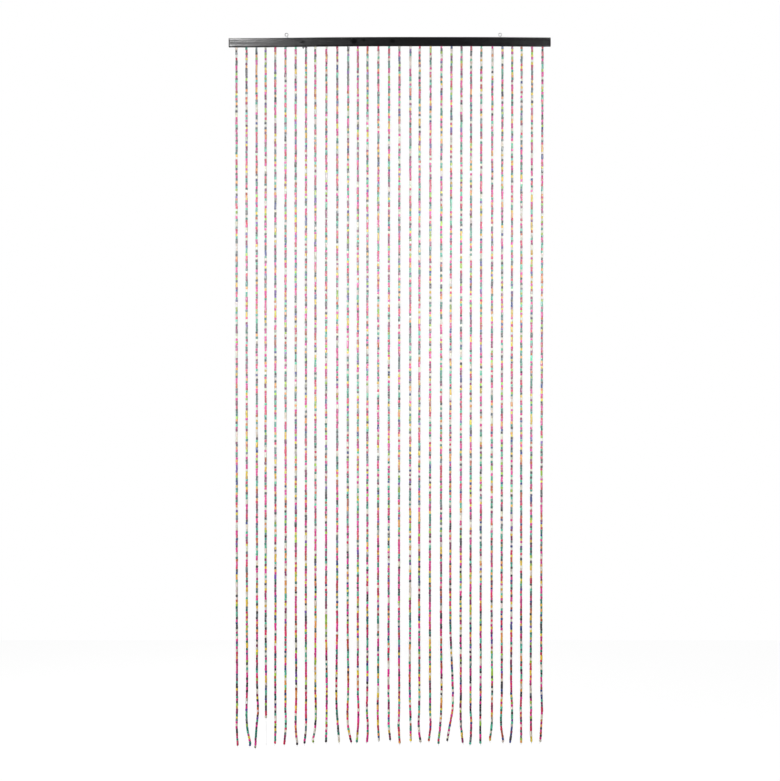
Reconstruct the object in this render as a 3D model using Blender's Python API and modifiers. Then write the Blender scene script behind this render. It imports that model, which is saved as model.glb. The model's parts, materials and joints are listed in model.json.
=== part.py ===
"""A beaded door curtain at its real size, in metres with +Z up.

A black wooden header bar hangs from two screw eyes. Thirty-one strings of bamboo beads hang under it, held by a
narrow strip that is let into a groove along the bar's underside. The front faces -Y and +X is to the right. The
origin lies on the hang line: over the middle of the bar, at the height of the two rings' centres.
"""

from collections import namedtuple
from math import cos, radians, sin

import bmesh
import bpy
from mathutils import Matrix, Vector

MM = 0.001
CLEARANCE = 0.3 * MM
WELD_DISTANCE = 0.01 * MM

BLACK_LACQUER = (0.02, 0.02, 0.022)
DYED_BAMBOO = (0.42, 0.08, 0.16)
ZINC = (0.62, 0.62, 0.64)

BAR_LENGTH = 900 * MM
BAR_HEIGHT = 24 * MM
BAR_DEPTH = 12 * MM
BAR_CROWN_BELOW_HANG_LINE = 7.1 * MM
BAR_EDGE_RADIUS = 1.2 * MM
BAR_EDGE_STEPS = 2
BAR_STATIONS = 18
# The slat has warped. One row a place along it, in millimetres: x from its middle, drop below its crown.
Warp = namedtuple("Warp", "x drop")
BAR_WARP = (
    Warp(-450, 3.2),
    Warp(-380, 3.1),
    Warp(-280, 2.1),
    Warp(-190, 1),
    Warp(-100, 0.4),
    Warp(0, 0),
    Warp(250, 0.1),
    Warp(340, 0.6),
    Warp(400, 1.1),
    Warp(450, 2.1),
)

STRIP_LENGTH = 872 * MM
STRIP_DEPTH = 4.4 * MM
STRIP_INSIDE_BAR = 3.7 * MM
STRIP_BELOW_BAR = 0.8 * MM

WIRE_DIAMETER = 1.8 * MM
RING_DIAMETER = 8.6 * MM
RING_POINTS = 22
RING_STARTS_AT = radians(-68)
RING_ENDS_AT = radians(250)
NECK_BELOW_RING = 1.4 * MM
SHANK_TIP_BELOW_RING_CENTRE = 21.5 * MM
SHANK_POINT_LENGTH = 3 * MM
SHANK_POINT_SHARE = 0.3
HOLE_DIAMETER = 2.5 * MM
HOLE_SIDES = 12

Eye = namedtuple("Eye", "name ring_x lean")
EYES = (
    Eye("screw_eye_left", -288.5 * MM, radians(-24)),
    Eye("screw_eye_right", 309 * MM, radians(8)),
)

BEAD_DIAMETER = 5.8 * MM
BEADS_START_BELOW_BAR = 0.35 * MM
THREAD_DIAMETER = 1.2 * MM
THREAD_TAPER = 1 * MM
SWAY_AT, KNEE_AT, SHIN_AT, ANKLE_AT = 1600 * MM, 1800 * MM, 1855 * MM, 1905 * MM
STRAIGHT_STEPS = 4
FOOT_STEPS = 15
DEPTH_SWAY = 4 * MM
DEPTH_SWAY_POWER = 5
DEPTH_SWAY_TURN = 2.4

# One row a string, left to right, in millimetres. gap: from the string before it, or from the bar's left end.
# sway, knee, shin, ankle and foot: how far it has drifted to the right of its own top at those heights.
# drop: the bar's underside to its lowest point. bare: the length of thread at its foot that has lost its beads.
String = namedtuple("String", "gap sway knee shin ankle foot drop bare")
STRINGS = (
    String(21.5, 1, 1.5, 1.5, 0.5, 3.5, 1954, 0),
    String(28, 1, 1.5, -0.5, 2, 11.5, 1954, 0),
    String(28, 1.5, 2, 4.5, 0, -3.5, 1960, 0),
    String(25.5, 0, 1, 0.5, 1.5, 1.5, 1949, 70),
    String(27, 0.5, 0, 0.5, 0.5, -0.5, 1949, 0),
    String(28.5, 0.5, 0, 0, 1, -3.5, 1951, 0),
    String(28.5, 0.5, 1.5, 0.5, -0.5, 5, 1954, 0),
    String(29, -0.5, 0, 0, 0, -4.5, 1949, 0),
    String(26, 0.5, 0, 1.5, -0.5, -8, 1946, 0),
    String(31, -1, 1, 0.5, 0, -1.5, 1947, 0),
    String(30.5, -0.5, -2.5, -1.5, 2, 5.5, 1947, 0),
    String(30.5, -1.5, 0, -2, -0.5, 9.5, 1952, 0),
    String(27, 0, 0, 1.5, 0.5, -3.5, 1947, 0),
    String(27, -0.5, -0.5, -2, 1, -1.5, 1947, 0),
    String(30.5, -1, -1, -2, -1, 1.5, 1944, 0),
    String(30, -1.5, -2, -1, -1, 3.5, 1941, 0),
    String(29, -1.5, -1, -1, -2.5, 1, 1951, 0),
    String(30.5, -1, -2, -0.5, 0.5, 1, 1945, 0),
    String(26, -1.5, -1, -1.5, -3, 2.5, 1947, 0),
    String(30.5, -2, -1.5, -1.5, 0, -5.5, 1945, 0),
    String(30.5, -1.5, 0, -1, -4, -9.5, 1951, 0),
    String(28, -3.5, 3.5, 3, -6, -12.5, 1944, 0),
    String(28, -2.5, -2, -2.5, -1.5, 4, 1949, 0),
    String(27, -2, -2, -2, 0, -3, 1953, 0),
    String(28.5, -2, -2, -2.5, -3, -2.5, 1952, 0),
    String(31, -2.5, -1, -1.5, -2.5, -8, 1943, 0),
    String(28, -2.5, -2, -3.5, -4, 3, 1946, 0),
    String(27.5, -2.5, -3, -0.5, -1, -6.5, 1949, 0),
    String(26, -1.5, -1, -2.5, -1.5, -1.5, 1948, 0),
    String(29.5, -3.5, -4, -3, -3.5, -2, 1946, 0),
    String(29, -3.5, -3, -1.5, -3.5, -6.5, 1945, 0),
)


def clear_scene():
    for old in list(bpy.data.objects):
        bpy.data.objects.remove(old)


def new_collection(name):
    made = bpy.data.collections.new(name)
    bpy.context.scene.collection.children.link(made)
    return made


def principled(name, colour, roughness, metallic=0.0):
    """A plain material in the piece's own colour."""
    made = bpy.data.materials.new(name)
    made.use_nodes = True
    shader = made.node_tree.nodes["Principled BSDF"]
    shader.inputs["Base Color"].default_value = (*colour, 1)
    shader.inputs["Roughness"].default_value = roughness
    shader.inputs["Metallic"].default_value = metallic
    return made


def mesh_object(name, bm, collection):
    mesh = bpy.data.meshes.new(name)
    bm.to_mesh(mesh)
    bm.free()
    made = bpy.data.objects.new(name, mesh)
    collection.objects.link(made)
    return made


def hide_cutter(cutter):
    cutter.hide_render = True
    cutter.display_type = "WIRE"


def boolean(target, other, operation):
    modifier = target.modifiers.new(f"{operation.lower()}_{other.name}", "BOOLEAN")
    modifier.operation = operation
    modifier.object = other
    hide_cutter(other)


def eased(marks, place):
    """The value at place on one smooth curve through marks, pairs of a place and a value."""
    places, values = zip(*marks)
    last = len(marks) - 1
    at = max(i for i in range(last) if i == 0 or places[i] <= place)

    def slope(i):
        before, after = max(i - 1, 0), min(i + 1, last)
        return (values[after] - values[before]) / (places[after] - places[before])

    width = places[at + 1] - places[at]
    t = (place - places[at]) / width
    return (
        values[at] * (1 + 2 * t) * (1 - t) ** 2
        + values[at + 1] * t**2 * (3 - 2 * t)
        + width * (slope(at) * t * (1 - t) ** 2 - slope(at + 1) * t**2 * (1 - t))
    )


def bar_top(x):
    """Height of the bar's top face at x."""
    return -BAR_CROWN_BELOW_HANG_LINE - eased(BAR_WARP, x / MM) * MM


def bar_underside(x):
    return bar_top(x) - BAR_HEIGHT


def bowed_block(name, length, depth, above_underside, below_underside, collection):
    """A long block that follows the bar's bow, reaching this far above and below the bar's underside."""
    bm = bmesh.new()
    bmesh.ops.create_cube(bm, size=1)
    bmesh.ops.scale(bm, vec=(length, depth, above_underside + below_underside), verts=bm.verts)
    lift = (above_underside - below_underside) / 2
    bmesh.ops.translate(bm, vec=(0, 0, lift), verts=bm.verts)
    spacing = BAR_LENGTH / BAR_STATIONS
    for station in range(1, BAR_STATIONS):
        x = station * spacing - BAR_LENGTH / 2
        if abs(x) < length / 2:
            everything = bm.verts[:] + bm.edges[:] + bm.faces[:]
            bmesh.ops.bisect_plane(bm, geom=everything, plane_co=(x, 0, 0), plane_no=(1, 0, 0))
    for vertex in bm.verts:
        vertex.co.z += bar_underside(vertex.co.x)
    return mesh_object(name, bm, collection)


def wire(name, points, radius, resolution, collection, shares=None):
    """A round wire along these points, as a curve with closed ends. shares scale its radius point by point."""
    curve = bpy.data.curves.new(name, "CURVE")
    curve.dimensions = "3D"
    curve.twist_mode = "MINIMUM"
    curve.bevel_depth = radius
    curve.bevel_resolution = resolution
    curve.use_fill_caps = True
    spline = curve.splines.new("POLY")
    spline.points.add(len(points) - 1)
    for target, point, share in zip(spline.points, points, shares or [1] * len(points)):
        target.co = (*point, 1)
        target.radius = share
    made = bpy.data.objects.new(name, curve)
    collection.objects.link(made)
    return made


def welded_mesh(wires, name, collection):
    """One mesh object made of these wires, their end caps welded on. The wires are removed."""
    bpy.context.view_layer.update()
    graph = bpy.context.evaluated_depsgraph_get()
    bm = bmesh.new()
    for each in wires:
        mesh = bpy.data.meshes.new_from_object(each.evaluated_get(graph))
        mesh.transform(each.matrix_world)
        bm.from_mesh(mesh)
        bpy.data.meshes.remove(mesh)
        bpy.data.objects.remove(each)
    bmesh.ops.remove_doubles(bm, verts=bm.verts, dist=WELD_DISTANCE)
    bmesh.ops.recalc_face_normals(bm, faces=bm.faces)
    return mesh_object(name, bm, collection)


def eye_points():
    """The eye's wire, ring centre at the origin: up from the tip, through the neck, then round the ring."""
    neck_z = -RING_DIAMETER / 2 - NECK_BELOW_RING
    tip_z = -SHANK_TIP_BELOW_RING_CENTRE
    shank = [Vector((0, 0, z)) for z in (tip_z, tip_z + SHANK_POINT_LENGTH, neck_z)]
    ring = []
    for step in range(RING_POINTS + 1):
        angle = RING_STARTS_AT + (RING_ENDS_AT - RING_STARTS_AT) * step / RING_POINTS
        ring.append(Vector((cos(angle), 0, sin(angle))) * RING_DIAMETER / 2)
    return shank + ring


def build_eye(eye, collection):
    """A screw eye. It stays a curve, so that its wire can still be changed."""
    points = eye_points()
    shares = [SHANK_POINT_SHARE] + [1] * (len(points) - 1)
    made = wire(eye.name, points, WIRE_DIAMETER / 2, 2, collection, shares)
    made.location.x = eye.ring_x
    made.rotation_euler.y = eye.lean
    return made


def eye_hole(eye, collection):
    """The pilot hole of an eye, which leans with it and runs out of the bar's top."""
    bm = bmesh.new()
    depth = SHANK_TIP_BELOW_RING_CENTRE + CLEARANCE
    bmesh.ops.create_cone(
        bm,
        cap_ends=True,
        segments=HOLE_SIDES,
        radius1=HOLE_DIAMETER / 2,
        radius2=HOLE_DIAMETER / 2,
        depth=depth,
        matrix=Matrix.Translation((0, 0, -depth / 2)),
    )
    made = mesh_object(f"{eye.name}_hole", bm, collection)
    made.location.x = eye.ring_x
    made.rotation_euler.y = eye.lean
    return made


def build_bar(collection, cutters):
    """The header bar: a bowed slat with eased edges, a groove for the strip and a hole for each eye."""
    bar = bowed_block("header_bar", BAR_LENGTH, BAR_DEPTH, BAR_HEIGHT, 0, collection)
    bevel = bar.modifiers.new("eased_edges", "BEVEL")
    bevel.width = BAR_EDGE_RADIUS
    bevel.segments = BAR_EDGE_STEPS
    bevel.limit_method = "ANGLE"
    groove = bowed_block(
        "strip_groove",
        STRIP_LENGTH + 2 * CLEARANCE,
        STRIP_DEPTH + 2 * CLEARANCE,
        STRIP_INSIDE_BAR + CLEARANCE,
        STRIP_BELOW_BAR,
        cutters,
    )
    boolean(bar, groove, "DIFFERENCE")
    for eye in EYES:
        boolean(bar, eye_hole(eye, cutters), "DIFFERENCE")
    return bar


def string_path(row, index, x):
    """The points of a string from under the strip to its foot, and the share of a bead's width that each has."""
    drop = row.drop * MM
    drifts = (row.sway, row.knee, row.shin, row.ankle, row.foot)
    heights = (SWAY_AT, KNEE_AT, SHIN_AT, ANKLE_AT, drop)
    marks = [(0, 0)] + [(height, drift * MM) for height, drift in zip(heights, drifts)]
    straight = SWAY_AT - BEADS_START_BELOW_BAR
    places = [BEADS_START_BELOW_BAR + straight * step / STRAIGHT_STEPS for step in range(STRAIGHT_STEPS)]
    places += [SWAY_AT + (drop - SWAY_AT) * step / FOOT_STEPS for step in range(FOOT_STEPS + 1)]
    shares = [1] * len(places)
    if row.bare:
        beads_end = drop - row.bare * MM
        thread_starts = beads_end + THREAD_TAPER
        beaded = [place for place in places if place < beads_end] + [beads_end]
        thread = [thread_starts] + [place for place in places if place > thread_starts]
        places = beaded + thread
        shares = [1] * len(beaded) + [THREAD_DIAMETER / BEAD_DIAMETER] * len(thread)
    depth = DEPTH_SWAY * sin(DEPTH_SWAY_TURN * index)
    underside = bar_underside(x)
    points = [
        Vector((x + eased(marks, place), depth * (place / drop) ** DEPTH_SWAY_POWER, underside - place))
        for place in places
    ]
    return points, shares


def build_strings(collection, cutters):
    """All the strings as one body, rooted in the strip that holds them in the bar's groove."""
    strip = bowed_block(
        "bead_strands", STRIP_LENGTH, STRIP_DEPTH, STRIP_INSIDE_BAR, STRIP_BELOW_BAR, collection
    )
    x = -BAR_LENGTH / 2
    wires = []
    for index, row in enumerate(STRINGS):
        x += row.gap * MM
        points, shares = string_path(row, index, x)
        wires.append(wire(f"string_{index + 1}", points, BEAD_DIAMETER / 2, 0, cutters, shares))
    boolean(strip, welded_mesh(wires, "strings", cutters), "UNION")
    return strip


def main():
    clear_scene()
    curtain = new_collection("bamboo_door_curtain")
    cutters = new_collection("cutters")
    bar = build_bar(curtain, cutters)
    bar.data.materials.append(principled("black_lacquer", BLACK_LACQUER, 0.35))
    strings = build_strings(curtain, cutters)
    strings.data.materials.append(principled("dyed_bamboo", DYED_BAMBOO, 0.5))
    zinc = principled("zinc", ZINC, 0.35, 1.0)
    for eye in EYES:
        build_eye(eye, curtain).data.materials.append(zinc)


if __name__ == "__main__":
    main()
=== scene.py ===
"""Looks of a bamboo bead door curtain, laid out as an add-on and run as a script.

Thirty-one strings of dyed bamboo beads hang from a black lacquered header bar with two screw eyes in its top.
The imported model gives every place: the bar, the eyes, and the plain strands that the strings stand for.
Metres, +Z up, the front faces -Y. Surface patterns work in millimetres.
"""

import json
from collections import namedtuple
from math import atan2, cos, pi, radians, sin

import bmesh
import bpy
import numpy as np
from bpy.props import FloatProperty, FloatVectorProperty, IntProperty, PointerProperty
from mathutils import Color, Matrix, Vector
from mathutils.noise import noise


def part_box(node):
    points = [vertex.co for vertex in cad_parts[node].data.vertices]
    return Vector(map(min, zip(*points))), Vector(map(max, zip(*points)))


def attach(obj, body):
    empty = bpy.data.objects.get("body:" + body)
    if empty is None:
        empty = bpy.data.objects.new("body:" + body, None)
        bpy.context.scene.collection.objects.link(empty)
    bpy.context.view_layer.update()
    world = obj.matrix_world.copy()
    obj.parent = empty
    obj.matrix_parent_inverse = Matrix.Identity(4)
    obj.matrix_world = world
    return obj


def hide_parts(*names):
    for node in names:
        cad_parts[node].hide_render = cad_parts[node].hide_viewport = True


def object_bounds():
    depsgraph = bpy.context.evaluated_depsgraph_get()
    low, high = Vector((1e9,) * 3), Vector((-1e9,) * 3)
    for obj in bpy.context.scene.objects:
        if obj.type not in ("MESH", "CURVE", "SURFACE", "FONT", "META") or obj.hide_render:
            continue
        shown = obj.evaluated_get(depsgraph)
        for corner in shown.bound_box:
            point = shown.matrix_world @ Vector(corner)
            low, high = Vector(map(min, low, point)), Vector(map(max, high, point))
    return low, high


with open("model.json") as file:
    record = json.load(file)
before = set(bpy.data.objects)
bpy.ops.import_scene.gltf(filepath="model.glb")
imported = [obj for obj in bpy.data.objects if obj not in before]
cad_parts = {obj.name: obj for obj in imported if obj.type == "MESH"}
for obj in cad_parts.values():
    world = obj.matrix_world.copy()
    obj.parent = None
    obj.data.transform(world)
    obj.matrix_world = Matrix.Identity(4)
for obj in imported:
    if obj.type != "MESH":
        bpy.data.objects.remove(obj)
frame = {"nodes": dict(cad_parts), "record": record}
CAD_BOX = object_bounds()

bl_info = {
    "name": "Bamboo Bead Door Curtain",
    "version": (1, 0, 0),
    "blender": (4, 5, 0),
    "location": "View3D > Sidebar > Curtain",
    "description": "Dresses a packed door curtain with its bead strings, bar, screw eyes and studio",
    "category": "Object",
}

MM = 0.001
BODY = "root"
BAR, STRANDS = "header_bar", "bead_strands"
EYES = ("screw_eye_left", "screw_eye_right")
OPENINGS = {"screw_eye_left": "ring_left", "screw_eye_right": "ring_right"}

# How the plain strands are read from the frame.
FIRST_SLICE_BELOW_BAR = 1.5 * MM
SLICE_SPACING = 4 * MM
STRANDS_APART = 4.5 * MM
DRIFT_PER_SLICE = 6 * MM
BARE_BELOW_WIDTH = 2.5 * MM
FOOT_FACE_HEIGHT = 0.5 * MM

# The bar and the strip in the groove of its underside.
BAR_STATION_SPACING = 3 * MM
BAR_END_ROUNDING = 0.4 * MM
BAR_END_STEPS = 3
BAR_ARC_STEPS = 4
BAR_FACE_SPACING = 1.05 * MM
BOW_READ_FROM_ENDS = 3 * MM
WHOLE_SECTION_SHARE = 0.75
STRIP_DEPTH = 4.4 * MM
STRIP_HEIGHT = 4.5 * MM
STRIP_BELOW_BAR = 0.8 * MM
STRIP_ROUNDING = 0.35 * MM
STRIP_ARC_STEPS = 3
STRIP_END_STEPS = 2
STRIP_FACE_SPACING = STRIP_DEPTH / 3
STRIP_STATION_SPACING = 9 * MM
CLEARANCE = 0.3 * MM
GROOVE_STEPS = 1
PILOT_HOLE_DIAMETER = 2.5 * MM
PILOT_HOLE_SIDES = 24
THREAD_HOLE_DIAMETER = 1.7 * MM
THREAD_HOLE_DEPTH = 1.1 * MM
THREAD_HOLE_FLARE = 1.5
THREAD_HOLE_SIDES = 12
# How often the bar's grain and its broad waves come back, per millimetre through, up and along the bar.
GRAIN_FREQUENCY = np.array((0.75, 0.75, 0.014))
WAVE_FREQUENCY = np.array((0.12, 0.12, 0.035))
BAR_CREASE = radians(40)
BEAD_CREASE = radians(50)

# Knots in the bar's front. x and height: from the bar's middle; reach: how far the grain bends round one.
Knot = namedtuple("Knot", "x height width reach")
BAR_KNOTS = (
    Knot(-242 * MM, -1 * MM, 8 * MM, 4 * MM),
    Knot(-99 * MM, 0, 11 * MM, 9 * MM),
    Knot(-72 * MM, 3 * MM, 6 * MM, 4 * MM),
    Knot(8 * MM, 0, 9 * MM, 6 * MM),
    Knot(212 * MM, -4 * MM, 8 * MM, 4 * MM),
)

# Dyes with their share of the beads. The names are those of the colour settings.
Dye = namedtuple("Dye", "name share")
DYES = (
    Dye("crimson", 12),
    Dye("magenta", 17),
    Dye("plum", 7),
    Dye("charcoal", 10),
    Dye("slate", 6),
    Dye("pine", 8),
    Dye("mint", 9),
    Dye("navy", 3),
    Dye("violet", 2),
    Dye("yellow", 7),
    Dye("apricot", 6),
    Dye("rust", 4),
    Dye("lime", 4),
    Dye("natural", 17),
)

# The last beads of some strings, from the foot upwards.
FOOT_BEADS = {
    2: ("navy", "pine", "magenta"),
    3: ("natural", "magenta", "magenta"),
    4: ("natural", "crimson"),
    7: ("charcoal", "natural", "natural"),
    8: ("charcoal", "magenta", "pine"),
    10: ("charcoal", "pine", "magenta"),
    11: ("natural", "natural", "natural"),
    14: ("magenta", "magenta", "magenta"),
    16: ("charcoal", "plum", "charcoal"),
    17: ("apricot", "crimson"),
    19: ("natural", "charcoal", "magenta"),
    22: ("charcoal", "natural", "plum"),
    26: ("yellow", "rust", "pine"),
    31: ("natural", "magenta", "charcoal"),
}
# The first beads of some strings, from the bar downwards.
TOP_BEADS = {
    1: ("natural", "charcoal", "slate"),
    3: ("slate", "slate", "charcoal"),
    5: ("crimson", "crimson", "apricot"),
    8: ("charcoal", "slate", "charcoal"),
    11: ("crimson", "crimson", "charcoal"),
    12: ("charcoal", "charcoal", "natural"),
    14: ("crimson", "rust", "apricot"),
    15: ("crimson", "crimson", "natural"),
    16: ("mint", "crimson", "crimson"),
}
# Rings between a bead's two shoulders. place: millimetres from its middle; wide: share of its radius.
Ring = namedtuple("Ring", "place wide")
MIDDLE_RINGS = {
    "short": (),
    "tube": (Ring(0, 1.015),),
    "noded": (Ring(-1.3, 0.99), Ring(0, 1.07), Ring(1.3, 0.99)),
}
END_RINGS = 2
OVALNESS = 0.035
# How much the mouth, the rim and the shoulder of a bead count as its cut end.
MOUTH_CUT = 1.4
RIM_CUT = 1
SHOULDER_CUT = 0.25
# How far apart the fibres of two beads are read, so that no two look alike. In millimetres.
FIBRE_SHIFT = 400

# How the colours of like beads differ.
DEPTH_SPREAD = 0.16
FADE_SPREAD = 0.06
HUE_SPREAD = 0.05
FADED_GREY = 0.22
DARKEST_DYE, PALEST_DYE = 0.004, 0.92

# Shares of a string's bake map: the thread's column, a cell's margin, and a mouth's strip in its cell.
THREAD_COLUMN = 0.012
CELL_MARGIN = 0.06
MOUTH_STRIP = 0.16

# Places in a string's list of materials.
BAMBOO, NYLON = 0, 1

# The nylon thread. A knot is part of a closed curve, whose formula makes it six units wide.
THREAD_SIDES = 6
THREAD_SPACING = 22 * MM
SHORTEST_BARE_THREAD = 20 * MM
KNOT_POINTS = 26
KNOT_PART = (0.12, 0.88)
KNOT_UNITS_WIDE = 6
TAIL_POINTS = 5
TAIL_MILLIMETRES = (2.5, 6)
TAIL_CURL = 0.5

# The knotted cord end. Its places are measured from the top of its string.
LOOSE_END_STRING = 8
CORD_START = np.array((-3.8 * MM, -0.5 * MM, -STRIP_BELOW_BAR))
CORD_SWEEP = np.array((-2.6 * MM, -1.2 * MM, -1.8 * MM))
CORD_SAG = np.array((0, 0, -1.2 * MM))
CORD_TO_KNOT = np.array((-1.4 * MM, 0, -1.4 * MM))
CORD_KNOT_WIDTH = 4.8 * MM
CORD_KNOT_TURN = 0.6
CORD_WIDTH = 1.5 * MM
CORD_POINTS = 8
CORD_SIDES = 8

# The screw eyes. NECK_BELOW_RING is a share of the ring's radius.
EYE_SIDES = 16
RING_STEPS = 44
RING_STARTS_AT, RING_ENDS_AT = radians(-62), radians(250)
NECK_BELOW_RING = 1.3
NECK_STEPS = 6
NECK_EASE = 1.4
SHANK_STEPS = 90
SHANK_POINT_LENGTH = 3 * MM
SHANK_POINT_SHARE = 0.25
PLAIN_SHANK = 2 * MM
SCREW_FADE = 2 * MM

# beam: how far a lamp's light fans out, in degrees. sheen: the lamp only gleams on the beads, mostly high up.
Light = namedtuple("Light", "name place aim width height beam watts sheen", defaults=(False,))
LIGHTS = (
    Light("left_glint", (-1.0, -5.2, 1.0), (-0.45, 0, -0.02), 0.25, 0.25, 180, 15),
    Light("right_glint", (1.02, -5.2, 1.0), (0.45, 0, -0.02), 0.15, 0.15, 180, 1.6),
    Light("key", (-3.2, -4.2, -0.9), (0, 0, -1.7), 2.0, 1.0, 60, 17.5),
    Light("fill", (3.4, -4.0, -1.5), (0, 0, -1.7), 2.0, 1.0, 180, 76),
    Light("left_sheen", (-3.2, -4.2, 0.15), (0, 0, -0.57), 2.0, 0.4, 24, 70, True),
    Light("right_sheen", (3.4, -4.0, 0.15), (0, 0, -0.57), 2.0, 0.4, 24, 70, True),
    Light("back", (-2.0, 4.6, 0.8), (0, 0, -0.9), 2.0, 1.0, 60, 12),
)
GLEAMING = "gleaming_beads"


# Settings


def size(name, default, description, least=0):
    """A length, which goes no lower than least."""
    return FloatProperty(
        name=name, description=description, default=default, min=least, unit="LENGTH", precision=5
    )


def degrees(name, default, description):
    return FloatProperty(name=name, description=description, default=radians(default), subtype="ANGLE")


def share(name, default, description):
    return FloatProperty(
        name=name, description=description, default=default, min=0, max=1, subtype="FACTOR"
    )


def colour(name, default, description):
    return FloatVectorProperty(
        name=name, description=description, default=default, size=3, min=0, max=1, subtype="COLOR_GAMMA"
    )


class CurtainBeadSettings(bpy.types.PropertyGroup):
    width: size("Width", 6.1 * MM, "Outer diameter of a bead")
    mouth: size("Mouth", 0.5 * MM, "How deep the hole's mouth is drawn in at a cut end")
    rounding: size("Rounding", 0.45 * MM, "Rounding of a bead's cut ends")
    short_length: size("Short bead", 6.7 * MM, "Usual length of a short bead")
    tube_length: size("Tube", 14 * MM, "Usual length of a long bead")
    gap: size("Gap", 0.3 * MM, "Space between two beads")
    play: size("Play", 0.35 * MM, "How far a bead can lie off its thread")
    length_spread: share("Length spread", 0.14, "How much the lengths of like beads differ")
    width_spread: share("Width spread", 0.07, "How much the widths of the beads differ")
    tube_share: share("Tubes", 0.03, "Share of the beads that are long")
    noded_share: share("Noded tubes", 0.25, "Share of the long beads that show a node of the cane")
    run_share: share("Runs", 0.05, "Chance that a bead repeats the dye of the bead above it")
    tilt: degrees("Tilt", 1.6, "Usual tilt of a bead on its thread")
    slant: degrees("Slant", 3, "Usual slant of a cut end")
    sides: IntProperty(name="Sides", description="Facets round a bead", default=12, min=6, max=24)
    seed: IntProperty(name="Seed", description="Start of the random draws", default=31)


class CurtainDyeSettings(bpy.types.PropertyGroup):
    crimson: colour("Crimson", (0.90, 0.06, 0.34), "Deep pinkish red beads")
    magenta: colour("Magenta", (0.95, 0.05, 0.58), "Pink and magenta beads")
    plum: colour("Plum", (0.56, 0.05, 0.36), "Dark wine-red beads")
    charcoal: colour("Charcoal", (0.18, 0.16, 0.21), "Dark grey, nearly black beads")
    slate: colour("Slate", (0.40, 0.47, 0.48), "Grey beads")
    pine: colour("Pine", (0.03, 0.52, 0.44), "Dark blue-green beads")
    mint: colour("Mint", (0.30, 0.76, 0.62), "Light blue-green beads")
    navy: colour("Navy", (0.08, 0.20, 0.52), "Dark blue beads")
    violet: colour("Violet", (0.42, 0.20, 0.66), "Violet beads")
    yellow: colour("Yellow", (1.0, 0.82, 0.10), "Yellow beads")
    apricot: colour("Apricot", (1.0, 0.64, 0.26), "Light orange beads")
    rust: colour("Rust", (0.80, 0.32, 0.10), "Red-brown beads")
    lime: colour("Lime", (0.64, 0.82, 0.18), "Yellow-green beads")
    natural: colour("Natural", (0.91, 0.87, 0.81), "Beads left in the cane's own pale colour")
    cut_cane: colour("Cut cane", (0.78, 0.66, 0.48), "Undyed cane that shows at a cut end")


class CurtainBarSettings(bpy.types.PropertyGroup):
    edge_radius: size("Edge radius", 0.8 * MM, "Rounding of the bar's long edges")
    crown: size("Crown", 0.05 * MM, "How far the bar's broad faces stand out along their middle")
    grain_relief: size("Grain relief", 0.02 * MM, "Height of the grain under the lacquer")
    waviness: size("Waviness", 0.04 * MM, "Height of the broad waves in the planed faces")
    lacquer: colour("Lacquer", (0.031, 0.031, 0.034), "The bar's black lacquer")
    grain: colour("Grain", (0.12, 0.12, 0.13), "Lacquer over the raised grain")
    bare_wood: colour("Bare wood", (0.36, 0.26, 0.18), "Wood that shows where an edge is rubbed")


class CurtainFittingSettings(bpy.types.PropertyGroup):
    thread_width: size("Thread", 0.5 * MM, "Diameter of the nylon thread")
    knot_width: size("Knot", 2.6 * MM, "Width of the knot under the last bead")
    screw_pitch: size("Screw pitch", 1.3 * MM, "Pitch of the screw eyes' wood thread")
    screw_ridge: size("Screw ridge", 0.2 * MM, "Height of the screw eyes' wood thread")
    nylon: colour("Nylon", (0.86, 0.87, 0.87), "Clear nylon thread")
    zinc: colour("Zinc", (0.92, 0.92, 0.93), "Zinc plate on the screw eyes")
    dull_zinc: colour("Dull zinc", (0.76, 0.77, 0.78), "Zinc plate where it has dulled")
    loose_end: colour("Loose end", (0.22, 0.21, 0.22), "Knotted cord end under the bar")


class CurtainStageSettings(bpy.types.PropertyGroup):
    camera_distance: size("Camera distance", 5.152, "From the bar's front to the camera")
    camera_height: size("Camera height", -0.995, "Height of the camera over the rings' centres", least=-10)
    camera_side: size("Camera side", 0.9 * MM, "How far the camera stands to the right", least=-10)
    lens: FloatProperty(name="Lens", description="Focal length", default=85, min=1, unit="CAMERA")
    floor_gap: size("Floor gap", 38 * MM, "From the lowest foot to the floor")
    floor_width: size("Floor width", 5, "Length of the floor's sides")
    room_light: share("Room light", 0.10, "Strength of the light all round")
    paper: colour("Paper", (0.4, 0.4, 0.4), "Floor, before the light that shines through it")


# Reading the frame


def points_of(mesh):
    return np.array([vertex.co for vertex in mesh.vertices])


class Bow:
    """The bar's top and underside along its length, read from its node."""

    def __init__(self, node):
        co = points_of(frame["nodes"][node].data)
        self.low, self.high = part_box(node)
        inside = np.abs(co[:, 0]) < self.high.x - BOW_READ_FROM_ENDS
        # Points that lie within a tenth of a millimetre along the bar are one station.
        stations = np.unique(np.round(co[inside, 0], 4))
        heights = [co[np.abs(co[:, 0] - x) < MM, 2] for x in stations]
        tops = np.array([z.max() for z in heights])
        undersides = np.array([z.min() for z in heights])
        whole = tops - undersides > (self.high.z - self.low.z) * WHOLE_SECTION_SHARE
        self.stations, self.tops, self.undersides = stations[whole], tops[whole], undersides[whole]

    def _read(self, x, values):
        """Reads between the stations, and goes on at the last slope past them."""
        first = np.polyfit(self.stations[:2], values[:2], 1)
        last = np.polyfit(self.stations[-2:], values[-2:], 1)
        between = np.interp(x, self.stations, values)
        between = np.where(x < self.stations[0], np.polyval(first, x), between)
        return np.where(x > self.stations[-1], np.polyval(last, x), between)

    def top(self, x):
        return self._read(x, self.tops)

    def underside(self, x):
        return self._read(x, self.undersides)

    def middle(self, x):
        return (self.top(x) + self.underside(x)) / 2

    def strip_middle(self, x):
        """Where the middle of the strip in the bar's groove lies."""
        return self.underside(x) + STRIP_HEIGHT / 2 - STRIP_BELOW_BAR

    def height(self):
        """The bar's height at its middle."""
        return float(self.top(0) - self.underside(0))


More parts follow.
